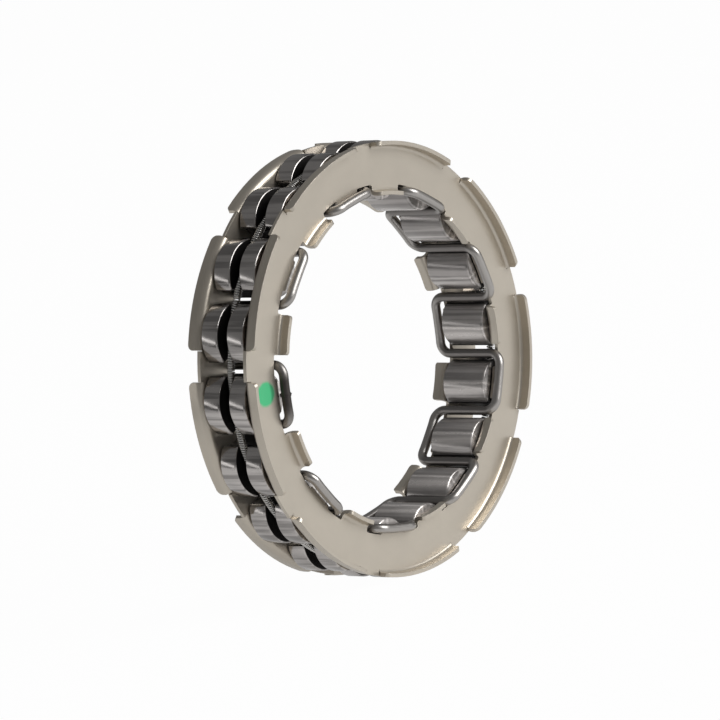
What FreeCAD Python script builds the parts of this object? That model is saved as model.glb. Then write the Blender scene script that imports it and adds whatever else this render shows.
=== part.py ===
import FreeCAD, Part
import math
import os

import Sketcher

# One-way bearing of the sprag type, as it is sold: a caged ring of sprags without its two races.
# Two stamped side plates, a meandering separator wire and a garter spring hold eighteen sprags.
# The sprags grip between a plain bore around them and a plain shaft or hub inside them.
# Frame: Z is the axis of the ring, the front side plate faces +Z, the origin is on the axis
# at half the width, and the first sprag stands on +X.

V = FreeCAD.Vector
AXIS = V(0, 0, 1)
FULL_TURN = 360
HALF_TURN = 180
CLOSE = 1e-4

doc = FreeCAD.newDocument("one_way_bearing")
sheet = doc.addObject("Spreadsheet::Sheet", "Sizes")

# Driving sizes, in millimetres and degrees.
SIZES = (
    ("pitch_count", "9", "flanges, notches and tabs on one side plate"),
    ("gap_edge_radius", "41.5", "edge of a side plate between two flanges"),
    ("flange_proud", "0.2", "how far a flange stands outside that edge"),
    ("flange_angle", "31.7", "arc taken by one flange"),
    ("overall_width", "16.5", "over the free edges of the flanges"),
    ("flange_height", "2.95", "free edge of a flange over the inner face of its plate"),
    ("sheet_thickness", "0.75", "thickness of the side plates"),
    ("bend_inner_radius", "0.7", "inside radius of every bend in the sheet"),
    ("flange_corner_radius", "1.1", "free corners of the flanges"),
    ("bend_relief", "0.1", "slit beside the foot of a flange"),
    ("notch_stand", "3.2", "from the soles of the sprags out to a plate's edge between two tabs"),
    ("tab_foot", "0.7", "from that edge in to the bend of a tab"),
    ("tab_stand", "1.95", "height of a tab over the outer face of its plate"),
    ("tab_angle", "13.5", "arc taken by one tab"),
    ("tab_corner_radius", "0.8", "free corners of the tabs"),
    ("tab_root_radius", "0.35", "corner between a tab and its notches"),
    ("tongue_angle", "11.0", "arc taken by one tongue, which lies under a loop of the wire"),
    ("tongue_corner_radius", "0.35", "free corners of the tongues"),
    ("sprag_end_clearance", "0.2", "between a sprag and each side plate"),
    ("crest_stand", "0.2", "how far a sprag stands outside the flanges"),
    ("sprag_height", "11.5", "from the sole of a sprag to its crest"),
    ("head_gap", "2.5", "between the heads of two sprags"),
    ("outer_cam_offset", "0.62", "centre of the outer cam beside the sprag's own radius"),
    ("toe_gap", "2.9", "between the toes of two sprags"),
    ("inner_cam_offset", "0.1", "centre of the inner cam beside the sprag's own radius"),
    ("head_depth", "2.95", "from the crest down to the corners of the head"),
    ("toe_depth", "2.4", "from the sole up to the corners of the toe"),
    ("waist_gap", "4.3", "between two sprags half way from head to toe"),
    ("waist_offset", "0.3", "middle of the waist beside the sprag's own radius"),
    ("edge_chamfer", "0.25", "bevel along the edges of the cam faces"),
    ("spring_depth", "3.0", "from the crests down to the centre line of the spring"),
    ("spring_diameter", "1.6", "outside of the spring's coils"),
    ("spring_side_clearance", "0.375", "between the spring and each wall of its slot"),
    ("spring_seat_clearance", "0.2", "between the spring and the floor of its slot"),
    ("slot_floor_curve", "12.0", "curve of the slot's floor, which lets the sprag tilt"),
    ("wire_diameter", "1.8", "round wire of the separator"),
    ("wire_notch_clearance", "0.1", "between a straight run and the edge of a notch"),
    ("wire_loop_bow", "0.25", "how far a loop bows out from the line between its two runs"),
    ("wire_loop_lap", "0.4", "how far a loop reaches over the free edge of a tongue"),
    ("wire_seat_clearance", "0.4", "between a loop and the outer face of its plate"),
    ("wire_bend_radius", "2.2", "bend from a run into a loop"),
    ("wire_shoulder_angle", "4.0", "from the middle of a loop to the bend at its shoulder"),
    ("wire_leg_straight", "0.1", "straight left between that bend and the next"),
    ("weld_gap", "0.1", "between the butted ends of the wire"),
)

for row, (alias, value, note) in enumerate(SIZES, start=1):
    sheet.set("A%d" % row, alias)
    sheet.set("B%d" % row, value)
    sheet.setAlias("B%d" % row, alias)
    sheet.set("C%d" % row, note)
doc.recompute()

# Sizes that follow from the driving ones, written as expressions on the sheet.
PITCH = "(%d / Sizes.pitch_count)" % FULL_TURN
SHEET = "Sizes.sheet_thickness"
FLANGE_RADIUS = "(Sizes.gap_edge_radius + Sizes.flange_proud)"
BEND_RISE = "(%s + Sizes.bend_inner_radius)" % SHEET
FLANGE_BEND = "(%s - %s)" % (FLANGE_RADIUS, BEND_RISE)
PLATE_GAP = "(Sizes.overall_width - 2 * Sizes.flange_height)"
CREST = "(%s + Sizes.crest_stand)" % FLANGE_RADIUS
SOLE = "(%s - Sizes.sprag_height)" % CREST
NOTCH_EDGE = "(%s + Sizes.notch_stand)" % SOLE
TAB_BEND = "(%s - Sizes.tab_foot)" % NOTCH_EDGE
TAB_RADIUS = "(%s - %s)" % (TAB_BEND, BEND_RISE)
TAB_HEIGHT = "(%s + Sizes.tab_stand)" % SHEET
TAB_ROOT = "min(Sizes.tab_root_radius; Sizes.tab_foot * 7 / 8)"
CUT_LENGTH = "(4 * %s)" % BEND_RISE
HEAD_CORNER = "(%s - Sizes.head_depth)" % CREST
TOE_CORNER = "(%s + Sizes.toe_depth)" % SOLE
WAIST = "((%s + %s) / 2)" % (HEAD_CORNER, TOE_CORNER)
HALF_HEAD = "(%s * tan(1deg * %s / 4) - Sizes.head_gap / 2)" % (HEAD_CORNER, PITCH)
HALF_TOE = "(%s * tan(1deg * %s / 4) - Sizes.toe_gap / 2)" % (TOE_CORNER, PITCH)
HALF_WAIST = "(%s * tan(1deg * %s / 4) - Sizes.waist_gap / 2)" % (WAIST, PITCH)
OUTER_CAM = "((%s ^ 2 / Sizes.head_depth + Sizes.head_depth) / 2)" % HALF_HEAD
INNER_CAM = "((%s ^ 2 / Sizes.toe_depth + Sizes.toe_depth) / 2)" % HALF_TOE
SPRAG_LENGTH = "(%s - 2 * Sizes.sprag_end_clearance)" % PLATE_GAP
SPRING_RING = "(%s - Sizes.spring_depth)" % CREST
SLOT_FLOOR = "(%s - Sizes.spring_diameter / 2 - Sizes.spring_seat_clearance)" % SPRING_RING
SLOT_WIDTH = "(Sizes.spring_diameter + 2 * Sizes.spring_side_clearance)"
SLOT_REACH = "(%s + Sizes.outer_cam_offset + Sizes.spring_diameter)" % HALF_HEAD
WIRE_RUN = "(%s - Sizes.wire_notch_clearance - Sizes.wire_diameter / 2)" % NOTCH_EDGE
WIRE_LOOP = "(%s * cos(1deg * %s / 4) + Sizes.wire_loop_bow)" % (WIRE_RUN, PITCH)
TONGUE_EDGE = "(%s + Sizes.wire_diameter / 2 - Sizes.wire_loop_lap)" % WIRE_LOOP
TONGUE_ROOM = "(%s - %s - %s)" % (NOTCH_EDGE, TONGUE_EDGE, TAB_ROOT)
TONGUE_CORNER = "min(Sizes.tongue_corner_radius; %s * 7 / 8)" % TONGUE_ROOM


def number(expression):
    """Value of an expression on the sheet."""
    return float(sheet.evalExpression(expression.replace("Sizes.", "")))


def origin_part(body, role):
    """Plane or axis of a body's own origin."""
    for feature in body.Origin.OriginFeatures:
        if feature.Role == role:
            return feature
    raise RuntimeError("no %s in %s" % (role, body.Label))


def new_sketch(body, name, plane):
    sketch = body.newObject("Sketcher::SketchObject", name)
    sketch.AttachmentSupport = (origin_part(body, plane), [""])
    sketch.MapMode = "FlatFace"
    return sketch


def arc(centre, start, end):
    """Arc of a sketch, turning the positive way from start to end."""
    from_centre = start - centre
    to_end = end - centre
    circle = Part.Circle(centre, AXIS, from_centre.Length)
    first = math.atan2(from_centre.y, from_centre.x)
    last = math.atan2(to_end.y, to_end.x)
    return Part.ArcOfCircle(circle, first, last)


def arc_centre(first, middle, last):
    """Centre of the circle through three points."""
    return Part.Circle(first, middle, last).Center


def measure(sketch, kind, places, expression):
    """A dimension of a sketch, bound to the sheet."""
    index = sketch.addConstraint(Sketcher.Constraint(kind, *places, number(expression)))
    sketch.setExpression("Constraints[%d]" % index, expression)


def place_point(sketch, geometry, point, across, up):
    """Both coordinates of a point, bound to the sheet."""
    measure(sketch, "DistanceX", (-1, 1, geometry, point), across)
    measure(sketch, "DistanceY", (-1, 1, geometry, point), up)


def must_remove(before, feature, wanted):
    """Compare volumes, because a cut that misses the solid shows no error."""
    doc.recompute()
    removed = before - feature.Shape.Volume
    if removed <= wanted:
        raise RuntimeError("%s removed %.3f cubic millimetres" % (feature.Label, removed))


def ring_sketch(body):
    """Flat ring of the side plate."""
    sketch = new_sketch(body, "Web", "XY_Plane")
    for expression in ("Sizes.gap_edge_radius", NOTCH_EDGE):
        index = sketch.addGeometry(Part.Circle(V(0, 0, 0), AXIS, number(expression)), False)
        sketch.addConstraint(Sketcher.Constraint("Coincident", index, 3, -1, 1))
        measure(sketch, "Radius", (index,), expression)
    return sketch


def sector_sketch(body, name, inner, outer, half_angle):
    """Sector of a flat ring between two radii, centred on X."""
    sketch = new_sketch(body, name, "XY_Plane")
    half = math.radians(number(half_angle))
    edges = []
    for expression in (inner, outer):
        radius = number(expression)
        right = V(radius * math.cos(half), -radius * math.sin(half), 0)
        left = V(right.x, -right.y, 0)
        edges.append((sketch.addGeometry(arc(V(0, 0, 0), right, left), False), right, left))
    (low, low_right, low_left), (high, high_right, high_left) = edges
    right_side = sketch.addGeometry(Part.LineSegment(low_right, high_right), False)
    left_side = sketch.addGeometry(Part.LineSegment(low_left, high_left), False)
    for line, end in ((right_side, 1), (left_side, 2)):
        sketch.addConstraint(Sketcher.Constraint("Coincident", line, 1, low, end))
        sketch.addConstraint(Sketcher.Constraint("Coincident", line, 2, high, end))
    for curve, radius in ((low, inner), (high, outer)):
        aside = "%s * sin(%s * 1deg)" % (radius, half_angle)
        sketch.addConstraint(Sketcher.Constraint("Coincident", curve, 3, -1, 1))
        measure(sketch, "Radius", (curve,), radius)
        measure(sketch, "DistanceY", (-1, 1, curve, 2), aside)
        measure(sketch, "DistanceY", (curve, 1, -1, 1), aside)
    return sketch


def bent_sketch(body, name, foot, bend, height, away):
    """Section of a flange or tab: a flat foot in the web, a bend and a straight leg.

    The foot starts at the radius foot and the bend's centre stands over the radius bend.
    The leg is on the outer side of it where away is 1, and on the inner side where it is -1.
    """
    sketch = new_sketch(body, name, "XZ_Plane")
    start = number(foot)
    turn = number(bend)
    top = number(height)
    thick = number(SHEET)
    rise = number(BEND_RISE)
    outside = turn + away * rise
    inside = outside - away * thick
    centre = V(turn, rise, 0)

    def bend_arc(low, high):
        ends = (low, high) if away > 0 else (high, low)
        return sketch.addGeometry(arc(centre, *ends), False)

    def line(first, last):
        return sketch.addGeometry(Part.LineSegment(first, last), False)

    under = V(turn, 0, 0)
    over = V(turn, thick, 0)
    far = V(outside, rise, 0)
    near = V(inside, rise, 0)
    foot_under = line(V(start, 0, 0), under)
    outer_bend = bend_arc(under, far)
    leg_far = line(far, V(outside, top, 0))
    edge = line(V(outside, top, 0), V(inside, top, 0))
    leg_near = line(V(inside, top, 0), near)
    inner_bend = bend_arc(over, near)
    foot_over = line(over, V(start, thick, 0))
    close = line(V(start, thick, 0), V(start, 0, 0))
    low_end, high_end = (1, 2) if away > 0 else (2, 1)

    joins = (
        (foot_under, 2, outer_bend, low_end),
        (outer_bend, high_end, leg_far, 1),
        (leg_far, 2, edge, 1),
        (edge, 2, leg_near, 1),
        (leg_near, 2, inner_bend, high_end),
        (inner_bend, low_end, foot_over, 1),
        (foot_over, 2, close, 1),
        (close, 2, foot_under, 1),
        (outer_bend, 3, inner_bend, 3),
    )
    for join in joins:
        sketch.addConstraint(Sketcher.Constraint("Coincident", *join))
    for flat in (edge, foot_over):
        sketch.addConstraint(Sketcher.Constraint("Horizontal", flat))
    for upright in (leg_far, leg_near, close):
        sketch.addConstraint(Sketcher.Constraint("Vertical", upright))
    for curve, point in ((foot_under, 1), (outer_bend, low_end)):
        sketch.addConstraint(Sketcher.Constraint("PointOnObject", curve, point, -1))
    measure(sketch, "DistanceX", (-1, 1, foot_under, 1), foot)
    measure(sketch, "DistanceX", (-1, 1, outer_bend, low_end), bend)
    place_point(sketch, outer_bend, 3, bend, BEND_RISE)
    measure(sketch, "DistanceY", (-1, 1, outer_bend, high_end), BEND_RISE)
    place_point(sketch, inner_bend, low_end, bend, SHEET)
    measure(sketch, "DistanceY", (-1, 1, inner_bend, high_end), BEND_RISE)
    measure(sketch, "DistanceY", (-1, 1, edge, 1), height)
    return sketch


def turn_section(sketch, angle):
    """Turn a section around the ring's axis, which is the sketch's own upright."""
    sketch.AttachmentOffset = FreeCAD.Placement(V(0, 0, 0), FreeCAD.Rotation(V(0, 1, 0), 1))
    sketch.setExpression("AttachmentOffset.Rotation.Angle", angle)


def bent_sector(body, name, sketch, angle):
    """Flange or tab over its arc, centred on the plane of its section."""
    sector = body.newObject("PartDesign::Revolution", name)
    sector.Profile = sketch
    sector.ReferenceAxis = (origin_part(body, "Z_Axis"), [""])
    sector.Midplane = True
    sector.setExpression("Angle", angle)
    return sector


def corner_cut(body, name, rim, half_angle, top, corner_radius, turn):
    """Round the two free corners of a flange or tab.

    The rim is the radius of its outer side and the cut is made square to its middle.
    """
    sketch = new_sketch(body, name + "Profile", "YZ_Plane")
    half_width = "(%s * sin(%s * 1deg))" % (rim, half_angle)
    margin = "(%s + %s)" % (half_width, corner_radius)
    inset = "(%s - %s)" % (half_width, corner_radius)
    level = "(%s - %s)" % (top, corner_radius)
    above = "(%s + %s)" % (top, corner_radius)
    for side in (1, -1):
        low = V(side * number(half_width), number(level), 0)
        high = V(side * number(inset), number(top), 0)
        centre = V(high.x, low.y, 0)
        ends = (low, high) if side > 0 else (high, low)
        low_end, high_end = (1, 2) if side > 0 else (2, 1)
        path = (high, V(high.x, number(above), 0), V(side * number(margin), number(above), 0),
                V(side * number(margin), low.y, 0), low)
        curve = sketch.addGeometry(arc(centre, *ends), False)
        lines = []
        for first, last in zip(path, path[1:]):
            lines.append(sketch.addGeometry(Part.LineSegment(first, last), False))
        joins = [(curve, high_end, lines[0], 1), (lines[-1], 2, curve, low_end)]
        joins += [(before, 2, after, 1) for before, after in zip(lines, lines[1:])]
        for join in joins:
            sketch.addConstraint(Sketcher.Constraint("Coincident", *join))
        for upright, flat in (lines[0:2], lines[2:4]):
            sketch.addConstraint(Sketcher.Constraint("Vertical", upright))
            sketch.addConstraint(Sketcher.Constraint("Horizontal", flat))
        measure(sketch, "DistanceY", (-1, 1, curve, 3), level)
        measure(sketch, "DistanceY", (-1, 1, lines[1], 1), above)
        measure(sketch, "Radius", (curve,), corner_radius)
        sketch.addConstraint(Sketcher.Constraint("Horizontal", curve, 3, curve, low_end))
        sketch.addConstraint(Sketcher.Constraint("Vertical", curve, 3, curve, high_end))
        for geometry, point, place in ((curve, 3, inset), (lines[1], 2, margin)):
            pair = (-1, 1, geometry, point) if side > 0 else (geometry, point, -1, 1)
            measure(sketch, "DistanceX", pair, place)

    depth = "(%s * cos(%s * 1deg))" % (rim, half_angle)
    sketch.AttachmentOffset = FreeCAD.Placement(V(0, 0, 0), FreeCAD.Rotation(V(0, 1, 0), 1))
    sketch.setExpression("AttachmentOffset.Rotation.Angle", turn)
    sketch.setExpression("AttachmentOffset.Base.x", "%s * sin(%s)" % (depth, turn))
    sketch.setExpression("AttachmentOffset.Base.z", "%s * cos(%s)" % (depth, turn))
    cut = body.newObject("PartDesign::Pocket", name)
    cut.Profile = sketch
    cut.Midplane = True
    cut.setExpression("Length", CUT_LENGTH)
    return cut


def round_corners(body, name, base, across, corner_radius):
    """Fillet the upright edges of the sheet that stand at one radius across the ring."""
    doc.recompute()
    thick = number(SHEET)
    corners = []
    for index, edge in enumerate(base.Shape.Edges, start=1):
        ends = [vertex.Point for vertex in edge.Vertexes]
        if edge.Curve.TypeId != "Part::GeomLine" or abs(ends[0].z - ends[1].z) < thick / 2:
            continue
        if all(abs(math.hypot(end.x, end.y) - number(across)) < thick / 10 for end in ends):
            corners.append("Edge%d" % index)
    fillet = body.newObject("PartDesign::Fillet", name)
    fillet.Base = (base, corners)
    fillet.setExpression("Radius", corner_radius)
    return fillet


def make_side_plate(name):
    """Stamped side plate, lying on its inner face, with a notch centred on X."""
    body = doc.addObject("PartDesign::Body", name)
    body.Label = name
    thick = number(SHEET)

    web = body.newObject("PartDesign::Pad", "WebPad")
    web.Profile = ring_sketch(body)
    web.setExpression("Length", SHEET)
    doc.recompute()
    flat_volume = web.Shape.Volume

    seat_half = "(Sizes.flange_angle / 2 + asin(Sizes.bend_relief / %s) / 1deg)" % FLANGE_BEND
    outside = "(%s + Sizes.bend_relief)" % FLANGE_RADIUS
    seat_sketch = sector_sketch(body, "FlangeSeat", FLANGE_BEND, outside, seat_half)
    seat_sketch.setExpression("AttachmentOffset.Rotation.Angle", "1deg * %s / 4" % PITCH)
    seat = body.newObject("PartDesign::Pocket", "FlangeSeatPocket")
    seat.Profile = seat_sketch
    seat.Type = "ThroughAll"
    seat.Midplane = True
    must_remove(flat_volume, seat, thick)

    tongue = body.newObject("PartDesign::Pad", "TonguePad")
    tongue.Profile = sector_sketch(body, "Tongue", TONGUE_EDGE, "(%s + %s)" % (NOTCH_EDGE, SHEET),
                                   "(Sizes.tongue_angle / 2)")
    tongue.setExpression("Length", SHEET)

    flange_turn = "(1deg * %s / 4)" % PITCH
    tab_turn = "(1deg * %s / 2)" % PITCH
    flange_foot = "(%s - %s)" % (FLANGE_BEND, SHEET)
    flange_sketch = bent_sketch(body, "FlangeSection", flange_foot, FLANGE_BEND,
                                "Sizes.flange_height", 1)
    turn_section(flange_sketch, flange_turn)
    flange = bent_sector(body, "Flange", flange_sketch, "Sizes.flange_angle")

    tab_sketch = bent_sketch(body, "TabSection", NOTCH_EDGE, TAB_BEND, TAB_HEIGHT, -1)
    turn_section(tab_sketch, tab_turn)
    tab = bent_sector(body, "Tab", tab_sketch, "Sizes.tab_angle")
    doc.recompute()

    square_volume = tab.Shape.Volume
    flange_corners = corner_cut(body, "FlangeCorners", FLANGE_RADIUS, "(Sizes.flange_angle / 2)",
                                "Sizes.flange_height", "Sizes.flange_corner_radius", flange_turn)
    must_remove(square_volume, flange_corners, 0)
    square_volume = flange_corners.Shape.Volume
    tab_corners = corner_cut(body, "TabCorners", "(%s + %s)" % (TAB_RADIUS, SHEET),
                             "(Sizes.tab_angle / 2)", TAB_HEIGHT, "Sizes.tab_corner_radius", tab_turn)
    must_remove(square_volume, tab_corners, 0)

    pattern = body.newObject("PartDesign::PolarPattern", "RimPattern")
    pattern.Originals = [seat, tongue, flange, tab, flange_corners, tab_corners]
    pattern.Axis = (origin_part(body, "Z_Axis"), [""])
    pattern.Angle = FULL_TURN
    pattern.setExpression("Occurrences", "Sizes.pitch_count")
    body.Tip = pattern
    doc.recompute()

    roots = round_corners(body, "NotchRoots", pattern, NOTCH_EDGE, TAB_ROOT)
    body.Tip = round_corners(body, "TongueCorners", roots, TONGUE_EDGE, TONGUE_CORNER)
    return body


front_plate = make_side_plate("front_side_plate")
one_sprag_back = FreeCAD.Rotation(AXIS, number("-%s / 2" % PITCH))
front_plate.Placement = FreeCAD.Placement(V(0, 0, 0), one_sprag_back)
front_plate.setExpression("Placement.Base.z", "%s / 2" % PLATE_GAP)

# The back plate is the same stamping turned over, so its notches meet the front plate's tabs.
back_plate = make_side_plate("back_side_plate")
back_plate.Placement = FreeCAD.Placement(V(0, 0, 0), FreeCAD.Rotation(V(1, 0, 0), HALF_TURN))
back_plate.setExpression("Placement.Base.z", "-%s / 2" % PLATE_GAP)


def cam_point(centre, radius, across, side):
    """Point of a cam's circle at the distance across from the ring's axis, along X."""
    reach = math.sqrt(radius ** 2 - (across - centre.x) ** 2)
    return V(across, centre.y + side * reach, 0)


def sprag_profile(body):
    """Section of a sprag across the ring's axis: two cam faces joined by a waist.

    X runs out from the ring's axis and Y along the ring.
    """
    sketch = new_sketch(body, "CamProfile", "XY_Plane")
    outer_radius = number(OUTER_CAM)
    inner_radius = number(INNER_CAM)
    outer_across = "(%s - %s)" % (CREST, OUTER_CAM)
    inner_across = "(%s + %s)" % (SOLE, INNER_CAM)
    outer_centre = V(number(outer_across), number("Sizes.outer_cam_offset"), 0)
    inner_centre = V(number(inner_across), number("Sizes.inner_cam_offset"), 0)

    head = []
    toe = []
    waist = []
    for side in (1, -1):
        head.append(cam_point(outer_centre, outer_radius, number(HEAD_CORNER), side))
        toe.append(cam_point(inner_centre, inner_radius, number(TOE_CORNER), side))
        aside = number("Sizes.waist_offset") + side * number(HALF_WAIST)
        waist.append(V(number(WAIST), aside, 0))

    front_flank = arc_centre(head[0], waist[0], toe[0])
    back_flank = arc_centre(head[1], waist[1], toe[1])
    crest = sketch.addGeometry(arc(outer_centre, head[1], head[0]), False)
    front = sketch.addGeometry(arc(front_flank, toe[0], head[0]), False)
    sole = sketch.addGeometry(arc(inner_centre, toe[0], toe[1]), False)
    back = sketch.addGeometry(arc(back_flank, head[1], toe[1]), False)
    joins = (
        (crest, 2, front, 2),
        (front, 1, sole, 1),
        (sole, 2, back, 2),
        (back, 1, crest, 1),
    )
    for join in joins:
        sketch.addConstraint(Sketcher.Constraint("Coincident", *join))
    place_point(sketch, crest, 3, outer_across, "Sizes.outer_cam_offset")
    measure(sketch, "Radius", (crest,), OUTER_CAM)
    place_point(sketch, sole, 3, inner_across, "Sizes.inner_cam_offset")
    measure(sketch, "Radius", (sole,), INNER_CAM)
    for point in (1, 2):
        measure(sketch, "DistanceX", (-1, 1, crest, point), HEAD_CORNER)
        measure(sketch, "DistanceX", (-1, 1, sole, point), TOE_CORNER)

    for flank, place, sign in ((front, waist[0], "+"), (back, waist[1], "-")):
        pin = sketch.addGeometry(Part.Point(place), True)
        aside = "(Sizes.waist_offset %s %s)" % (sign, HALF_WAIST)
        sketch.addConstraint(Sketcher.Constraint("PointOnObject", pin, 1, flank))
        measure(sketch, "DistanceX", (-1, 1, pin, 1), WAIST)
        if sign == "+":
            measure(sketch, "DistanceY", (-1, 1, pin, 1), aside)
        else:
            measure(sketch, "DistanceY", (pin, 1, -1, 1), "(0 - %s)" % aside)
    return sketch


def slot_profile(body):
    """Room for the garter spring over the slot's domed floor."""
    sketch = new_sketch(body, "SlotProfile", "XY_Plane")
    curve = "Sizes.slot_floor_curve"
    across = "(%s - %s)" % (SLOT_FLOOR, curve)
    reach = SLOT_REACH
    above = "(%s + Sizes.spring_depth)" % CREST
    centre = V(number(across), 0, 0)
    floor_x = centre.x + math.sqrt(number(curve) ** 2 - number(reach) ** 2)
    low = V(floor_x, -number(reach), 0)
    high = V(floor_x, number(reach), 0)
    far_low = V(number(above), low.y, 0)
    far_high = V(number(above), high.y, 0)
    floor = sketch.addGeometry(arc(centre, low, high), False)
    sides = (
        sketch.addGeometry(Part.LineSegment(high, far_high), False),
        sketch.addGeometry(Part.LineSegment(far_high, far_low), False),
        sketch.addGeometry(Part.LineSegment(far_low, low), False),
    )
    joins = (
        (floor, 2, sides[0], 1),
        (sides[0], 2, sides[1], 1),
        (sides[1], 2, sides[2], 1),
        (sides[2], 2, floor, 1),
    )
    for join in joins:
        sketch.addConstraint(Sketcher.Constraint("Coincident", *join))
    sketch.addConstraint(Sketcher.Constraint("Horizontal", sides[0]))
    sketch.addConstraint(Sketcher.Constraint("Vertical", sides[1]))
    sketch.addConstraint(Sketcher.Constraint("Horizontal", sides[2]))
    sketch.addConstraint(Sketcher.Constraint("PointOnObject", floor, 3, -1))
    measure(sketch, "DistanceX", (-1, 1, floor, 3), across)
    measure(sketch, "Radius", (floor,), curve)
    measure(sketch, "DistanceY", (-1, 1, floor, 2), reach)
    measure(sketch, "DistanceY", (floor, 1, -1, 1), reach)
    measure(sketch, "DistanceX", (-1, 1, sides[1], 1), above)
    return sketch


def make_sprag(name, turn):
    """One sprag, standing at the angle turn around the ring."""
    body = doc.addObject("PartDesign::Body", name)
    body.Label = name
    blank = body.newObject("PartDesign::Pad", "Blank")
    blank.Profile = sprag_profile(body)
    blank.Midplane = True
    blank.setExpression("Length", SPRAG_LENGTH)
    doc.recompute()

    slot = body.newObject("PartDesign::Pocket", "SpringSlot")
    slot.Profile = slot_profile(body)
    slot.Midplane = True
    slot.setExpression("Length", SLOT_WIDTH)
    must_remove(blank.Shape.Volume, slot, number(SLOT_WIDTH))

    cams = (number(OUTER_CAM), number(INNER_CAM))
    cam_centres = (number(CREST) - cams[0], number(SOLE) + cams[1])
    rims = []
    for index, edge in enumerate(slot.Shape.Edges, start=1):
        curve = edge.Curve
        if curve.TypeId != "Part::GeomCircle":
            continue
        for radius, across in zip(cams, cam_centres):
            same_curve = abs(curve.Radius - radius) < CLOSE
            if same_curve and abs(curve.Center.x - across) < CLOSE:
                rims.append("Edge%d" % index)
    bevel = body.newObject("PartDesign::Chamfer", "RimBevel")
    bevel.Base = (slot, rims)
    bevel.setExpression("Size", "Sizes.edge_chamfer")
    body.Tip = bevel
    body.Placement = FreeCAD.Placement(V(0, 0, 0), FreeCAD.Rotation(AXIS, turn))
    return body


sprag_count = 2 * int(number("Sizes.pitch_count"))
sprag_pitch = FULL_TURN / sprag_count
sprags = []
for place in range(sprag_count):
    sprags.append(make_sprag("sprag_%02d" % (place + 1), place * sprag_pitch))

garter_spring = doc.addObject("Part::Torus", "garter_spring")
garter_spring.Label = "garter_spring"
garter_spring.setExpression("Radius1", SPRING_RING)
garter_spring.setExpression("Radius2", "Sizes.spring_diameter / 2")


def on_ring(radius, angle, level):
    turn = math.radians(angle)
    return V(radius * math.cos(turn), radius * math.sin(turn), level)


def rounded_path(points, radii):
    """Straight runs between the points, joined by tangent arcs of the given radii."""
    edges = []
    start = points[0]
    for before, corner, after, radius in zip(points, points[1:], points[2:], radii):
        back = (before - corner).normalize()
        ahead = (after - corner).normalize()
        half = back.getAngle(ahead) / 2
        cut = radius / math.tan(half)
        middle_way = (back + ahead).normalize()
        first = corner + back * cut
        last = corner + ahead * cut
        middle = corner + middle_way * (radius / math.sin(half) - radius)
        edges.append(Part.LineSegment(start, first).toShape())
        edges.append(Part.Arc(first, middle, last).toShape())
        start = last
    edges.append(Part.LineSegment(start, points[-1]).toShape())
    return Part.Wire(edges)


def wire_route():
    """Centre line of the separator: straight runs between the sprags, loops over the plates.

    A loop passes over every tongue of each plate. The ends meet in the middle of a front loop.
    """
    run_radius = number(WIRE_RUN)
    shoulder_angle = number("Sizes.wire_shoulder_angle")
    middle_radius = number(WIRE_LOOP)
    shoulder_radius = middle_radius / math.cos(math.radians(shoulder_angle))
    outer_face = number("%s / 2 + %s" % (PLATE_GAP, SHEET))
    level = outer_face + number("Sizes.wire_seat_clearance + Sizes.wire_diameter / 2")
    bend = number("Sizes.wire_bend_radius")
    half_gap = math.degrees(number("Sizes.weld_gap") / 2 / middle_radius)
    weld_angle = HALF_TURN if int(number("Sizes.pitch_count")) % 2 else HALF_TURN + sprag_pitch

    # The shoulder's bend takes what the bend at the run leaves of the leg between them.
    run_end = on_ring(run_radius, sprag_pitch / 2, 0)
    shoulder = on_ring(shoulder_radius, shoulder_angle, 0)
    leg = run_end - shoulder
    shoulder_turn = leg.getAngle(V(0, 1, 0))
    shoulder_cut = leg.Length - bend - number("Sizes.wire_leg_straight")
    shoulder_bend = shoulder_cut / math.tan(shoulder_turn / 2)

    points = [on_ring(middle_radius, weld_angle + half_gap, level)]
    radii = []
    side = 1
    for place in range(sprag_count):
        loop_before = weld_angle + place * sprag_pitch
        run = loop_before + sprag_pitch / 2
        loop_after = loop_before + sprag_pitch
        points.append(on_ring(shoulder_radius, loop_before + shoulder_angle, side * level))
        points.append(on_ring(run_radius, run, side * level))
        points.append(on_ring(run_radius, run, -side * level))
        points.append(on_ring(shoulder_radius, loop_after - shoulder_angle, -side * level))
        radii += [shoulder_bend, bend, bend, shoulder_bend]
        side = -side
    points.append(on_ring(middle_radius, weld_angle - half_gap, level))
    return rounded_path(points, radii)


wire_path = doc.addObject("Part::Feature", "wire_path")
wire_path.Label = "wire_path"
wire_path.Shape = wire_route()
wire_section = doc.addObject("Part::Circle", "wire_section")
wire_section.Label = "wire_section"
wire_section.setExpression("Radius", "Sizes.wire_diameter / 2")
first_edge = wire_path.Shape.Edges[0]
start_point = first_edge.valueAt(first_edge.FirstParameter)
start_way = first_edge.tangentAt(first_edge.FirstParameter)
wire_section.Placement = FreeCAD.Placement(start_point, FreeCAD.Rotation(AXIS, start_way))
separator_wire = doc.addObject("Part::Sweep", "separator_wire")
separator_wire.Label = "separator_wire"
separator_wire.Sections = [wire_section]
path_edges = ["Edge%d" % (index + 1) for index in range(len(wire_path.Shape.Edges))]
separator_wire.Spine = (wire_path, path_edges)
separator_wire.Solid = True
separator_wire.Frenet = False

doc.recompute()
section_area = math.pi * number("Sizes.wire_diameter / 2") ** 2
swept = section_area * wire_path.Shape.Length
if abs(separator_wire.Shape.Volume / swept - 1) > 0.01:
    raise RuntimeError("the wire's volume doesn't match its length")

for item in doc.Objects:
    if "Invalid" in item.State or "Error" in item.State:
        raise RuntimeError("%s failed: %s" % (item.Label, item.State))

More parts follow.
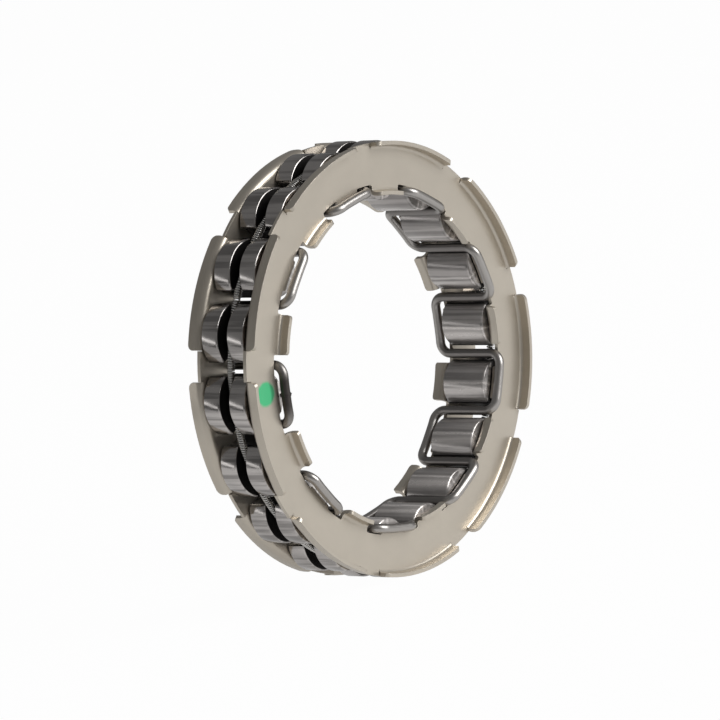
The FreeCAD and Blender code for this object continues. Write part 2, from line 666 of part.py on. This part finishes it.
pieces = [front_plate, back_plate, separator_wire, garter_spring] + sprags
os.makedirs("parts", exist_ok=True)
for piece in pieces:
    if piece.Shape.isNull() or not piece.Shape.isValid() or len(piece.Shape.Solids) != 1:
        raise RuntimeError("%s has no sound solid" % piece.Label)
for piece in pieces:
    piece.Shape.exportStep("parts/%s.step" % piece.Label)
    print("%s %.2f cubic millimetres" % (piece.Label, piece.Shape.Volume))
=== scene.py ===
"""Finishes of a caged sprag ring, its spring's coils, the bead of its weld and a plain stage."""

import math

import bmesh
import bpy
from bpy.props import FloatProperty, FloatVectorProperty, IntProperty, PointerProperty
from mathutils import Matrix, Vector, noise


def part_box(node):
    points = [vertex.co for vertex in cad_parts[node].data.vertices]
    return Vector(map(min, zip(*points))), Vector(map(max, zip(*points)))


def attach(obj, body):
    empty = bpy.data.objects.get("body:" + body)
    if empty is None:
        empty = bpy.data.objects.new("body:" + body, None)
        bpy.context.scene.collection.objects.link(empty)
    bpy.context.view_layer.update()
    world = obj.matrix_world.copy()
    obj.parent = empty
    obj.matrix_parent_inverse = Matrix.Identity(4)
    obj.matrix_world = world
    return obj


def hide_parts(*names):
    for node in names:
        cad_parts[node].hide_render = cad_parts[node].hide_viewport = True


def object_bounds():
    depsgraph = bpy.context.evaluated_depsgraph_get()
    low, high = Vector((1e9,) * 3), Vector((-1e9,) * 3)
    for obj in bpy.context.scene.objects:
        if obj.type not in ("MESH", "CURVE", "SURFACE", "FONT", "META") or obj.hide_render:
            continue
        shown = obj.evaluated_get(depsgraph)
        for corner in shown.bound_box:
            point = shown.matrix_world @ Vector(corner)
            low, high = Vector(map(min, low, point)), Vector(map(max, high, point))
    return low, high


bl_info = {
    "name": "One-way bearing",
    "version": (1, 0, 0),
    "blender": (4, 5, 0),
    "location": "3D View > Sidebar > Bearing",
    "description": "Finishes of a caged sprag ring with its spring's coils, and a plain stage",
    "category": "Object",
}

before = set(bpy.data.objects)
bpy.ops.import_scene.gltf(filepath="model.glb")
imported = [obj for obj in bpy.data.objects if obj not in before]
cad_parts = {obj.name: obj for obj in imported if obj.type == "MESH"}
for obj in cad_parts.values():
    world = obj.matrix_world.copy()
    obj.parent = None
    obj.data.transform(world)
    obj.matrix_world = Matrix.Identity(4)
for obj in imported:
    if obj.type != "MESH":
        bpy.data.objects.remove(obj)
cad_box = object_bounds()

MILLIMETRE = 0.001
CAGE = "cage"
FULL_TURN = 2 * math.pi

# Places and sizes of the nodes
SPRING_LOW, SPRING_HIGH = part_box("garter_spring")
SPRING_OUTSIDE = SPRING_HIGH.z - SPRING_LOW.z
SHEET = 0.75 * MILLIMETRE
PLATE_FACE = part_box("front_side_plate")[0].z + SHEET
WIRE_LOW, WIRE_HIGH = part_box("separator_wire")
WIRE_RADIUS = 0.9 * MILLIMETRE
WELD = (WIRE_LOW.x + WIRE_RADIUS, 0.0, WIRE_HIGH.z - WIRE_RADIUS)
FLOOR_LEVEL = cad_box[0][1]

# Directions of the frame: the ring's axis, and across it
AXIAL = (0, 0, 1)
RADIAL = (1, 1, 0)

# Rounds along sharp edges
JOINED = 0.001 * MILLIMETRE
FLAT_ANGLE = math.radians(0.5)
SHARP_ANGLE = math.radians(30)
ROUND_SEGMENTS = 2
WORN_SAMPLES = 6

# Grain of every finish
NOISE_ROUGHNESS = 0.55
FINE_DETAIL = 2.0
COARSE_DETAIL = 3.0
BAND_DETAIL = 5.0
CLOUD_SHARE = 0.7
GRAIN_SHARE = 0.3

# Stamped sheet: shades and grain, then the dab of paint in shares of its size
SHEET_LIGHT, SHEET_DARK = 1.08, 0.90
SHEET_GRAIN = 0.12 * MILLIMETRE
SHEET_CLOUDS = 6 * MILLIMETRE
SHEET_SPREAD = 0.12
SHEET_BUMP, SHEET_BUMP_STRENGTH = 0.012 * MILLIMETRE, 0.35
DAB_OVAL = (1, 1.15, 1)
DAB_RAGS = 1.6 * MILLIMETRE
DAB_RAGGED = 0.7 * MILLIMETRE
DAB_EDGE = (0.8, 1.1)
DAB_ROUGHNESS = 0.42
DAB_HEIGHT = 3.0
POOL_AWAY = 1.6
POOL_EDGE = (2.05, 2.3)
POOL_RAGGED = 0.6
POOL_SHADE = 0.5

# Steel of the sprags: level of the painted dark reflection between the bright bands, grain, and
# what each adds; the bands are painted reflection in the colour and a little smoother
HEAD_DARK_REFLECTION, SOLE_DARK_REFLECTION = 0.4, 0.28
STREAKS, STREAK_SHAPE = 0.08 * MILLIMETRE, (1, 1, 22)
CLOUDS, CLOUD_SHAPE = 2.2 * MILLIMETRE, (1, 1, 1.6)
BANDS, BAND_SHAPE = 1.5 * MILLIMETRE, (1, 1, 30)
BAND_EDGE = (0.40, 0.58)
SHEEN_COLOUR, CLOUD_COLOUR, STREAK_COLOUR = 0.7, 0.15, 0.15
BAND_ROUGH, CLOUD_ROUGH, SOLE_ROUGH, SCALE_ROUGH = 0.06, 0.10, 0.06, 0.4
SOLE_MATT = 0.5
SCALE_FADE = 0.3 * MILLIMETRE
SLOT_SHADE_FADE = 0.05 * MILLIMETRE
POLISH_BUMP, POLISH_BUMP_STRENGTH = 0.004 * MILLIMETRE, 0.3

# Bright bands of painted reflection along a sole: middle and half width in shares of the sprags'
# pitch, and how they wander
SOLE_SHEENS = ((-0.03, 0.045), (-0.17, 0.10))
STRIPE_SHARE = 0.9
STRIPE_BANDS = 0.5
STRIPE_CLOUDS, STRIPE_SHAPE = 2.5 * MILLIMETRE, (1, 1, 4)
STRIPE_WANDER = 0.08

# Drawn wire and its weld
WIRE_LIGHT, WIRE_DARK = 1.1, 0.85
WIRE_GRAIN = 0.15 * MILLIMETRE
WIRE_CLOUDS = 3 * MILLIMETRE
WIRE_SPREAD = 0.12
WIRE_BUMP, WIRE_BUMP_STRENGTH = 0.008 * MILLIMETRE, 0.25
RUN_FADE = 1.5 * MILLIMETRE
HEAT_WANDER = 3 * MILLIMETRE
HEAT_FULL = 0.35
HEAT_ROUGH = 0.12
BEAD_DIVISIONS = 4
BEAD_LUMPS, BEAD_UNEVEN = 2.6, 0.09
BEAD_LENGTH = 0.62
BEAD_REACH = 1.06

# Spring steel, darker and duller in random patches
COIL_RESOLUTION = 1
SPRING_PATCHES = 1.5 * MILLIMETRE
PATCH_DARK = 0.7
PATCH_ROUGH = 0.15
SPRING_POLISH = 0.07

# Stage, in metres
PAPER_SIZE = (3.2, 1.1, 1)
PAPER_SHIFT = (1.4, -0.35, FLOOR_LEVEL)
PAPER = (0.9, 0.9, 0.9, 1.0)
PAPER_ROUGHNESS = 0.9
WHITE = (1.0, 1.0, 1.0, 1.0)
SENSOR_WIDTH = 36
FAR_END = 10
KEY_LAMP = {"direction": (0.3, 0.5, 0.81), "distance": 1.2, "size": (0.9, 0.9), "level": 4.8}
STRIP_LAMP = {"direction": (-0.76, -0.04, -0.64), "distance": 0.9, "size": (0.1, 0.9), "level": 1.3}


# Shader maths

class Field:
    """A value that varies over a surface, as the output of a node."""

    def __init__(self, graph, socket):
        self.graph = graph
        self.socket = socket

    def __add__(self, other):
        return self.graph.maths("ADD", self, other)

    def __radd__(self, other):
        return self.graph.maths("ADD", other, self)

    def __sub__(self, other):
        return self.graph.maths("SUBTRACT", self, other)

    def __rsub__(self, other):
        return self.graph.maths("SUBTRACT", other, self)

    def __mul__(self, other):
        return self.graph.maths("MULTIPLY", self, other)

    def __rmul__(self, other):
        return self.graph.maths("MULTIPLY", other, self)


class Graph:
    """The nodes of a material or of the world."""

    def __init__(self, tree):
        self.nodes = tree.nodes
        self.links = tree.links

    def feed(self, socket, value):
        if isinstance(value, Field):
            self.links.new(value.socket, socket)
        else:
            socket.default_value = value

    def node(self, kind, settings=None, inputs=None, output=0):
        """Any node: its settings, then the values or links of its sockets. Gives one output."""
        node = self.nodes.new(kind)
        for name, value in (settings or {}).items():
            setattr(node, name, value)
        for key, value in (inputs or {}).items():
            self.feed(node.inputs[key], value)
        return Field(self, node.outputs[output])

    def maths(self, operation, *values):
        return self.node("ShaderNodeMath", {"operation": operation}, dict(enumerate(values)))

    def seen(self, glossy):
        """1 where the camera looks, also through glass, and glossy in the metal's reflections."""
        camera = self.node("ShaderNodeLightPath", output="Is Camera Ray")
        metal = self.node("ShaderNodeLightPath", output="Is Glossy Ray")
        glass = self.node("ShaderNodeLightPath", output="Is Transmission Ray")
        return self.node("ShaderNodeClamp", {}, {0: camera + metal * glossy + glass})


class Finish(Graph):
    """A metal or paint finish: one material, its shader and the nodes that feed it."""

    def __init__(self, name, **constants):
        self.material = bpy.data.materials.new(name)
        self.material.use_nodes = True
        super().__init__(self.material.node_tree)
        self.shader = self.nodes["Principled BSDF"]
        self.set(**constants)

    def set(self, **fields):
        for socket, value in fields.items():
            self.feed(self.shader.inputs[socket.replace("_", " ")], value)

    def cover(self, *pieces):
        for piece in pieces:
            piece.data.materials.clear()
            piece.data.materials.append(self.material)

    def place(self, scale=(1, 1, 1)):
        """Where a point of the surface is, in metres of the frame times scale."""
        here = self.node("ShaderNodeTexCoord", output="Object")
        return self.node("ShaderNodeMapping", {}, {"Vector": here, "Scale": scale})

    def noise(self, size, shape=(1, 1, 1), detail=COARSE_DETAIL):
        """Grain of about that size in metres, longer along the axes where shape is more than 1."""
        scale = [1 / (size * axis) for axis in shape]
        values = {"Vector": self.place(scale), "Scale": 1.0, "Detail": detail,
                  "Roughness": NOISE_ROUGHNESS}
        return self.node("ShaderNodeTexNoise", {}, values, "Fac")

    def rise(self, value, low, high, start=0.0, end=1.0):
        """A smooth step from start at low to end at high."""
        settings = {"interpolation_type": "SMOOTHSTEP"}
        inputs = {"Value": value, 1: low, 2: high, 3: start, 4: end}
        return self.node("ShaderNodeMapRange", settings, inputs, "Result")

    def fall(self, value, low, high):
        """A smooth step from 1 at low to 0 at high."""
        return self.rise(value, low, high, 1.0, 0.0)

    def mix(self, factor, first, second):
        """Colour between two colours or fields of colour."""
        inputs = {0: factor, 6: first, 7: second}
        return self.node("ShaderNodeMix", {"data_type": "RGBA"}, inputs, 2)

    def drift(self, colour, dark, light, clouds, grain):
        """The colour between its dark and its light shade, in clouds with some grain."""
        amount = clouds * CLOUD_SHARE + grain * GRAIN_SHARE
        return self.mix(amount, rgba(colour, dark), rgba(colour, light))

    def near(self, point, shift, scale=(1, 1, 1)):
        """Distance from a point of the frame in metres, made uneven by shift."""
        inputs = {0: self.place(scale), 1: Vector(point) * Vector(scale)}
        distance = self.node("ShaderNodeVectorMath", {"operation": "DISTANCE"}, inputs, "Value")
        return distance + shift

    def across(self, axes):
        """Distance from the frame's origin, measured along some of its axes."""
        inputs = {0: self.place(), 1: axes}
        part = self.node("ShaderNodeVectorMath", {"operation": "MULTIPLY"}, inputs)
        return self.node("ShaderNodeVectorMath", {"operation": "LENGTH"}, {0: part}, "Value")

    def around(self):
        """Angle around the ring's axis, in radians."""
        x = self.node("ShaderNodeSeparateXYZ", {}, {0: self.place()}, "X")
        y = self.node("ShaderNodeSeparateXYZ", {}, {0: self.place()}, "Y")
        return self.maths("ARCTAN2", y, x)

    def worn(self, radius):
        """Direction of the surface with its sharp edges rounded off."""
        return self.node("ShaderNodeBevel", {"samples": WORN_SAMPLES}, {"Radius": radius})

    def bump(self, height, distance, strength, over=None):
        inputs = {"Height": height, "Distance": distance, "Strength": strength}
        if over is not None:
            inputs["Normal"] = over
        return self.node("ShaderNodeBump", {}, inputs)


def rgba(colour, level=1.0):
    return (colour[0] * level, colour[1] * level, colour[2] * level, 1.0)


# Pieces

def nodes_named(start):
    return [node for name, node in sorted(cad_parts.items()) if name.startswith(start)]


def add(name, data):
    """A new object at the origin, in the scene."""
    piece = bpy.data.objects.new(name, data)
    bpy.context.scene.collection.objects.link(piece)
    return piece


def meshed(name, shape):
    """The mesh of a bmesh that is ready."""
    mesh = bpy.data.meshes.new(name)
    shape.to_mesh(mesh)
    shape.free()
    return mesh


def smooth(mesh):
    mesh.polygons.foreach_set("use_smooth", [True] * len(mesh.polygons))


def on_circle(radius, angle, height):
    """The point at that radius and angle around the ring's axis, and that height along it."""
    return Vector((radius * math.cos(angle), radius * math.sin(angle), height))


def facing(direction):
    """The turn of a lamp or camera that looks back along a direction."""
    return direction.to_track_quat("Z", "Y").to_matrix().to_4x4()


def round_edges(piece, width):
    """Small rounds along the sharp edges of a piece, as tumbling leaves them."""
    weld = piece.modifiers.new("Joined corners", "WELD")
    weld.merge_threshold = JOINED
    flat = piece.modifiers.new("Flat faces", "DECIMATE")
    flat.decimate_type = "DISSOLVE"
    flat.angle_limit = FLAT_ANGLE
    edge = piece.modifiers.new("Rounded edges", "BEVEL")
    edge.width = width
    edge.segments = ROUND_SEGMENTS
    edge.limit_method = "ANGLE"
    edge.angle_limit = SHARP_ANGLE
    edge.use_clamp_overlap = False
    edge.harden_normals = True


# Sizes and colours

def colour_property(name, description, default):
    return FloatVectorProperty(name=name, description=description, default=default,
                               subtype="COLOR", min=0.0, max=1.0)


def length_property(name, description, millimetres):
    return FloatProperty(name=name, description=description, default=millimetres * MILLIMETRE,
                         subtype="DISTANCE", unit="LENGTH")


def angle_property(name, description, degrees):
    return FloatProperty(name=name, description=description, default=math.radians(degrees),
                         subtype="ANGLE")


def share_property(name, description, default):
    return FloatProperty(name=name, description=description, default=default,
                         subtype="FACTOR", min=0.0, max=1.0)


class PlateLook(bpy.types.PropertyGroup):
    colour: colour_property("Plate colour", "Satin stamped steel", (0.615, 0.56, 0.478))
    roughness: share_property("Roughness", "Satin of the stamped sheet", 0.34)
    metallic: share_property("Metallic", "Less than 1 for the matt skin of the sheet", 0.75)
    edge: length_property("Edge round", "Round along the edges of the sheet", 0.08)
    paint: colour_property("Paint colour", "Dab of paint on the front plate", (0.08, 0.60, 0.26))
    paint_radius: length_property("Paint radius", "Distance of the dab from the ring's axis", 36.5)
    paint_angle: angle_property("Paint angle", "Place of the dab around the ring", 178.4)
    paint_size: length_property("Paint size", "Half of the dab's width", 2.75)


class SpragLook(bpy.types.PropertyGroup):
    edge: length_property("Edge round", "Round along the edges of a sprag", 0.12)
    colour: colour_property("Head colour", "Polished steel of the outer cams", (0.58, 0.55, 0.53))
    sole: colour_property("Sole colour", "Lapped steel of the inner cams", (0.90, 0.85, 0.82))
    roughness: share_property("Roughness", "Polish of the cam faces", 0.17)
    # Black skin on the flanks between the cams, also painted into the spring's slot as painted
    # shade
    scale: colour_property("Scale colour", "Black skin of the steel between the cams",
                           (0.035, 0.033, 0.032))
    toe_end: length_property("Toe end", "Radius where the ground sole ends", 32.5)
    head_end: length_property("Head end", "Radius where the ground head starts", 38.8)
    slot_edge: length_property("Slot edge", "Half of the spring slot's width", 1.18)


class WireLook(bpy.types.PropertyGroup):
    colour: colour_property("Wire colour", "Drawn steel wire", (0.45, 0.43, 0.41))
    # Painted shade: this darker colour is laid on the wire where it runs between the sprags
    painted_run_shade: colour_property("Run colour", "Wire darkened by oil where it runs between the sprags",
                         (0.24, 0.225, 0.215))
    run_end: length_property("Run end", "Where the dark runs end, from the middle plane", 7.0)
    tint: colour_property("Weld tint", "Wire darkened by the heat of its weld",
                          (0.08, 0.072, 0.068))
    roughness: share_property("Roughness", "Polish of the drawn wire", 0.36)
    tint_reach: length_property("Tint reach", "How far the tint goes from the weld", 6.5)
    bead: length_property("Weld bead", "Half the width of the bead across the wire", 1.12)


class SpringLook(bpy.types.PropertyGroup):
    colour: colour_property("Spring colour", "Bright spring steel", (0.85, 0.83, 0.80))
    roughness: share_property("Roughness", "Polish of the spring's wire", 0.2)
    wire: length_property("Spring wire", "Diameter of the wire that is coiled", 0.3)
    pitch: length_property("Coil pitch", "From one coil of the spring to the next", 0.46)
    points: IntProperty(name="Points", description="Points of the line in one coil",
                        default=12, min=6)


class StageLook(bpy.types.PropertyGroup):
    azimuth: angle_property("Azimuth", "Of the camera around the ring", 168.0)
    elevation: angle_property("Elevation", "Of the camera over the ring", 39.9)
    roll: angle_property("Roll", "Of the camera about its view", 90.0)
    distance: length_property("Distance", "From the camera to the point that it looks at", 1046.8)
    aim: FloatVectorProperty(name="Aim", description="Point that the camera looks at",
                             default=(-0.00055, -0.00008, -0.00067), subtype="TRANSLATION")
    lens: FloatProperty(name="Lens", description="Focal length in millimetres", default=272.6,
                        unit="CAMERA")
    world: share_property("World", "Level of the surroundings' light", 0.10)
    world_glossy: share_property("World glossy", "White of the world that the metal shows", 0.09)
    floor_glossy: share_property("Floor glossy", "White of the floor that the metal shows", 0.55)
    background: share_property("Background", "Share of the floor that stays white in shadow", 0.98)


# Operators

class BEARING_OT_side_plates(bpy.types.Operator):
    """Satin stamped steel of the two side plates, with the dab of paint on the front one"""
    bl_idname = "bearing.side_plates"
    bl_label = "Side plates"

    def execute(self, context):
        look = context.scene.plate_look
        self.sheet(look, painted=True).cover(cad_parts["front_side_plate"])
        self.sheet(look, painted=False).cover(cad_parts["back_side_plate"])
        return {"FINISHED"}

    def sheet(self, look, painted):
        steel = Finish("Stamped steel")
        grain = steel.noise(SHEET_GRAIN, detail=FINE_DETAIL)
        clouds = steel.noise(SHEET_CLOUDS)
        colour = steel.drift(look.colour, SHEET_DARK, SHEET_LIGHT, clouds, grain)
        roughness = clouds * SHEET_SPREAD + (look.roughness - SHEET_SPREAD / 2)
        metallic = look.metallic
        height = grain
        if painted:
            dab, paint = self.dab(steel, look)
            colour = steel.mix(dab, colour, paint)
            roughness = steel.rise(dab, 0.0, 1.0) * (DAB_ROUGHNESS - roughness) + roughness
            metallic = (1.0 - dab) * look.metallic
            height = grain * (1.0 - dab) + dab * DAB_HEIGHT
        normal = steel.bump(height, SHEET_BUMP, SHEET_BUMP_STRENGTH, steel.worn(look.edge))
        steel.set(Base_Color=colour, Roughness=roughness, Metallic=metallic, Normal=normal)
        return steel

    def dab(self, steel, look):
        """Where the paint lies, 1 in it and 0 outside, and its colour, darker at its pooled rim."""
        size = look.paint_size
        centre = on_circle(look.paint_radius, look.paint_angle, PLATE_FACE)
        ragged = (steel.noise(DAB_RAGS) - 0.5) * DAB_RAGGED
        low, high = DAB_EDGE
        dab = steel.fall(steel.near(centre, ragged, DAB_OVAL), size * low, size * high)
        outer = centre - Vector((size * POOL_AWAY, 0, 0))
        low, high = POOL_EDGE
        pool = steel.rise(steel.near(outer, ragged * POOL_RAGGED), size * low, size * high)
        return dab, steel.mix(pool, rgba(look.paint), rgba(look.paint, POOL_SHADE))


class BEARING_OT_sprags(bpy.types.Operator):
    """Ground and polished steel of the sprags, with bands of painted reflection on their cams, a
    black skin between their cams and painted shade in the spring's slot
    """
    bl_idname = "bearing.sprags"
    bl_label = "Sprags"

    def execute(self, context):
        look = context.scene.sprag_look
        sprags = nodes_named("sprag_")
        steel = Finish("Ground steel")
        streaks = steel.noise(STREAKS, STREAK_SHAPE, FINE_DETAIL)
        clouds = steel.noise(CLOUDS, CLOUD_SHAPE)
        # Bright bands of painted reflection on the cams, a little smoother too; on the soles the
        # painted stripes take their place
        bands = steel.rise(steel.noise(BANDS, BAND_SHAPE, BAND_DETAIL), *BAND_EDGE)
        sole = steel.fall(steel.across(RADIAL), look.toe_end, look.head_end)
        sole_sheens = self.sole_sheens(steel, len(sprags))
        bands = bands + (sole_sheens * STRIPE_SHARE - bands * STRIPE_BANDS) * sole
        ground = steel.mix(sole, rgba(look.colour), rgba(look.sole))
        # Painted dark reflection: the cams' colour turned down where no painted band lies
        dark_reflection = steel.mix(sole, rgba(look.colour, HEAD_DARK_REFLECTION), rgba(look.sole, SOLE_DARK_REFLECTION))
        sheen_and_grain = bands * SHEEN_COLOUR + clouds * CLOUD_COLOUR + streaks * STREAK_COLOUR
        scale = self.scale(steel, look)
        spread = clouds * CLOUD_ROUGH + bands * BAND_ROUGH
        polish = look.roughness - (CLOUD_ROUGH + BAND_ROUGH) / 2
        steel.set(Base_Color=steel.mix(scale, steel.mix(sheen_and_grain, dark_reflection, ground), rgba(look.scale)),
                  Roughness=spread + scale * SCALE_ROUGH + sole * SOLE_ROUGH + polish,
                  Metallic=1.0 - sole * SOLE_MATT,
                  Normal=steel.bump(streaks, POLISH_BUMP, POLISH_BUMP_STRENGTH))
        for sprag in sprags:
            round_edges(sprag, look.edge)
        steel.cover(*sprags)
        return {"FINISHED"}

    def sole_sheens(self, steel, count):
        """1 in two bright bands of painted reflection that lie along the sole of each sprag."""
        share = steel.around() * (count / FULL_TURN) + 0.5
        wander = (steel.noise(STRIPE_CLOUDS, STRIPE_SHAPE) - 0.5) * STRIPE_WANDER
        place = steel.maths("FRACT", share) - 0.5 + wander
        first, second = (self.stripe(steel, place, *stripe) for stripe in SOLE_SHEENS)
        return first + second

    def stripe(self, steel, place, middle, width):
        rise = steel.rise(place, middle - width, middle)
        return rise * steel.fall(place, middle, middle + width)

    def scale(self, steel, look):
        """1 on the flanks between the cams, which aren't ground, and in the spring's slot, which is
        blackened as painted shade.
        """
        reach = steel.across(RADIAL)
        flank = (steel.rise(reach, look.toe_end, look.toe_end + SCALE_FADE)
                 * steel.fall(reach, look.head_end - SCALE_FADE, look.head_end))
        # Painted shade: the spring's slot is blackened, more towards the heads
        slot = (steel.fall(steel.across(AXIAL), look.slot_edge, look.slot_edge + SLOT_SHADE_FADE)
                * steel.rise(reach, look.toe_end, look.head_end))
        return steel.maths("MAXIMUM", flank, slot)


class BEARING_OT_separator_wire(bpy.types.Operator):
    """Drawn wire of the separator, darkened by heat beside its weld and by painted shade where it
    runs between the sprags, and the weld's bead
    """
    bl_idname = "bearing.separator_wire"
    bl_label = "Separator wire"

    def execute(self, context):
        look = context.scene.wire_look
        steel = Finish("Drawn wire", Metallic=1.0)
        grain = steel.noise(WIRE_GRAIN, detail=FINE_DETAIL)
        clouds = steel.noise(WIRE_CLOUDS)
        heat = steel.fall(steel.near(WELD, (clouds - 0.5) * HEAT_WANDER),
                          look.tint_reach * HEAT_FULL, look.tint_reach)
        # Painted shade: darker colour where the wire runs between the sprags
        painted_run_shade = steel.fall(steel.across(AXIAL), look.run_end - RUN_FADE, look.run_end)
        colour = steel.drift(look.colour, WIRE_DARK, WIRE_LIGHT, clouds, grain)
        colour = steel.mix(painted_run_shade, colour, rgba(look.painted_run_shade))
        polish = look.roughness - WIRE_SPREAD / 2
        steel.set(Base_Color=steel.mix(heat, colour, rgba(look.tint)),
                  Roughness=clouds * WIRE_SPREAD + heat * HEAT_ROUGH + polish,
                  Normal=steel.bump(grain, WIRE_BUMP, WIRE_BUMP_STRENGTH))
        steel.cover(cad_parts["separator_wire"], self.bead(look))
        return {"FINISHED"}

    def bead(self, look):
        """Uneven bead of the weld that closes the wire, moved in as far as it would stand proud."""
        blob = bmesh.new()
        bmesh.ops.create_icosphere(blob, subdivisions=BEAD_DIVISIONS, radius=1.0)
        for vertex in blob.verts:
            vertex.co *= 1 + BEAD_UNEVEN * noise.noise(vertex.co * BEAD_LUMPS)
        widths = (look.bead, look.bead * BEAD_LENGTH, look.bead)
        bmesh.ops.scale(blob, verts=blob.verts, vec=widths)
        proud = look.bead * BEAD_REACH - WIRE_RADIUS
        bmesh.ops.translate(blob, verts=blob.verts, vec=Vector(WELD) + Vector((proud, 0, -proud)))
        bead = add("weld_bead", meshed("weld_bead", blob))
        smooth(bead.data)
        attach(bead, CAGE)
        return bead


class BEARING_OT_garter_spring(bpy.types.Operator):
    """Close-wound coils of the garter spring, in place of its plain ring"""
    bl_idname = "bearing.garter_spring"
    bl_label = "Garter spring"

    def execute(self, context):
        look = context.scene.spring_look
        line = add("spring_coils_line", self.winding(look))
        context.view_layer.update()
        coils = add("spring_coils", bpy.data.meshes.new_from_object(line))
        bpy.data.objects.remove(line)
        smooth(coils.data)
        steel = Finish("Spring steel", Metallic=1.0)
        patches = steel.noise(SPRING_PATCHES)
        steel.set(Base_Color=steel.mix(patches, rgba(look.colour, PATCH_DARK), rgba(look.colour)),
                  Roughness=patches * PATCH_ROUGH + (look.roughness - SPRING_POLISH))
        steel.cover(coils)
        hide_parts("garter_spring")
        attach(coils, CAGE)
        return {"FINISHED"}

    def winding(self, look):
        """One closed line that winds round the ring of the CAD's spring."""
        ring = SPRING_HIGH.x - SPRING_OUTSIDE / 2
        coil = (SPRING_OUTSIDE - look.wire) / 2
        count = round(FULL_TURN * ring / look.pitch) * look.points
        curve = bpy.data.curves.new("spring_coils", "CURVE")
        curve.dimensions = "3D"
        curve.bevel_depth = look.wire / 2
        curve.bevel_resolution = COIL_RESOLUTION
        curve.twist_mode = "Z_UP"
        spline = curve.splines.new("POLY")
        spline.points.add(count - 1)
        spline.use_cyclic_u = True
        for index, point in enumerate(spline.points):
            twist = FULL_TURN * index / look.points
            reach = ring + coil * math.cos(twist)
            place = on_circle(reach, FULL_TURN * index / count, coil * math.sin(twist))
            point.co = (*place, 1.0)
        spline.use_smooth = True
        return curve


class BEARING_OT_stage(bpy.types.Operator):
    """White floor and surroundings, soft lamps and the camera"""
    bl_idname = "bearing.stage"
    bl_label = "Stage"

    def execute(self, context):
        look = context.scene.stage_look
        context.scene.view_settings.view_transform = "Standard"
        context.scene.world = self.surroundings(look)
        self.floor(look)
        context.scene.camera = self.camera(look)
        self.lamp("key_lamp", **KEY_LAMP)
        self.lamp("strip_lamp", **STRIP_LAMP)
        return {"FINISHED"}

    def surroundings(self, look):
        """A world that is white to the camera and dim as a light."""
        world = bpy.data.worlds.new("Surroundings")
        world.use_nodes = True
        graph = Graph(world.node_tree)
        strength = graph.seen(look.world_glossy) * (1 - look.world) + look.world
        background = graph.nodes["Background"].inputs
        graph.feed(background["Color"], WHITE)
        graph.feed(background["Strength"], strength)
        return world

    def floor(self, look):
        """White paper under the rim on which the ring stands, along the camera's view."""
        ahead = look.azimuth + math.pi
        level = math.cos(look.elevation)
        away = Vector((math.cos(ahead) * level, 0, -math.sin(look.elevation))).normalized()
        turn = Matrix((away, away.cross((0, -1, 0)), (0, 1, 0))).transposed().to_4x4()
        sheet = bmesh.new()
        bmesh.ops.create_grid(sheet, x_segments=1, y_segments=1, size=0.5)
        bmesh.ops.scale(sheet, verts=sheet.verts, vec=PAPER_SIZE)
        bmesh.ops.translate(sheet, verts=sheet.verts, vec=PAPER_SHIFT)
        bmesh.ops.transform(sheet, verts=sheet.verts, matrix=turn)
        floor = add("floor", meshed("floor", sheet))
        self.paper(look).cover(floor)

    def paper(self, look):
        """White to the camera but for a faint shadow, greyer in the metal, and clear from below."""
        paper = Finish("White paper", Base_Color=PAPER, Roughness=PAPER_ROUGHNESS,
                       Specular_IOR_Level=0.0)
        lit = Field(paper, paper.shader.outputs[0])
        glow = paper.node("ShaderNodeEmission", {}, {"Color": WHITE, "Strength": 1.0})
        share = paper.seen(look.floor_glossy) * look.background
        above = paper.node("ShaderNodeMixShader", {}, {0: share, 1: lit, 2: glow})
        below = paper.node("ShaderNodeBsdfTransparent")
        behind = paper.node("ShaderNodeNewGeometry", output="Backfacing")
        sided = paper.node("ShaderNodeMixShader", {}, {0: behind, 1: above, 2: below})
        paper.feed(paper.nodes["Material Output"].inputs["Surface"], sided)
        return paper

    def camera(self, look):
        lens = bpy.data.cameras.new("camera")
        lens.lens = look.lens
        lens.sensor_width = SENSOR_WIDTH
        lens.clip_end = FAR_END
        camera = add("camera", lens)
        level = math.cos(look.elevation)
        towards = on_circle(level, look.azimuth, math.sin(look.elevation))
        turn = Matrix.Rotation(look.roll, 4, towards) @ facing(towards)
        camera.matrix_world = Matrix.Translation(Vector(look.aim) + towards * look.distance) @ turn
        return camera

    def lamp(self, name, direction, distance, size, level):
        """A soft lamp whose face shines level times as bright as white."""
        light = bpy.data.lights.new(name, "AREA")
        light.shape = "RECTANGLE"
        light.size, light.size_y = size
        light.energy = level * math.pi * size[0] * size[1]
        towards = Vector(direction).normalized()
        add(name, light).matrix_world = Matrix.Translation(towards * distance) @ facing(towards)


class BEARING_PT_panel(bpy.types.Panel):
    """Lists the pieces of the bearing and its stage"""
    bl_label = "One-way bearing"
    bl_idname = "BEARING_PT_panel"
    bl_space_type = "VIEW_3D"
    bl_region_type = "UI"
    bl_category = "Bearing"

    def draw(self, context):
        for operator in OPERATORS:
            self.layout.operator(operator.bl_idname)


LOOKS = {
    "plate_look": PlateLook,
    "sprag_look": SpragLook,
    "wire_look": WireLook,
    "spring_look": SpringLook,
    "stage_look": StageLook,
}
OPERATORS = (
    BEARING_OT_side_plates,
    BEARING_OT_sprags,
    BEARING_OT_separator_wire,
    BEARING_OT_garter_spring,
    BEARING_OT_stage,
)


def register():
    for group in LOOKS.values():
        bpy.utils.register_class(group)
    for name, group in LOOKS.items():
        setattr(bpy.types.Scene, name, PointerProperty(type=group))
    for operator in OPERATORS + (BEARING_PT_panel,):
        bpy.utils.register_class(operator)


def unregister():
    for operator in OPERATORS + (BEARING_PT_panel,):
        bpy.utils.unregister_class(operator)
    for name in LOOKS:
        delattr(bpy.types.Scene, name)
    for group in LOOKS.values():
        bpy.utils.unregister_class(group)


def main():
    register()
    bpy.ops.bearing.side_plates()
    bpy.ops.bearing.sprags()
    bpy.ops.bearing.separator_wire()
    bpy.ops.bearing.garter_spring()
    bpy.ops.bearing.stage()


if __name__ == "__main__":
    main()
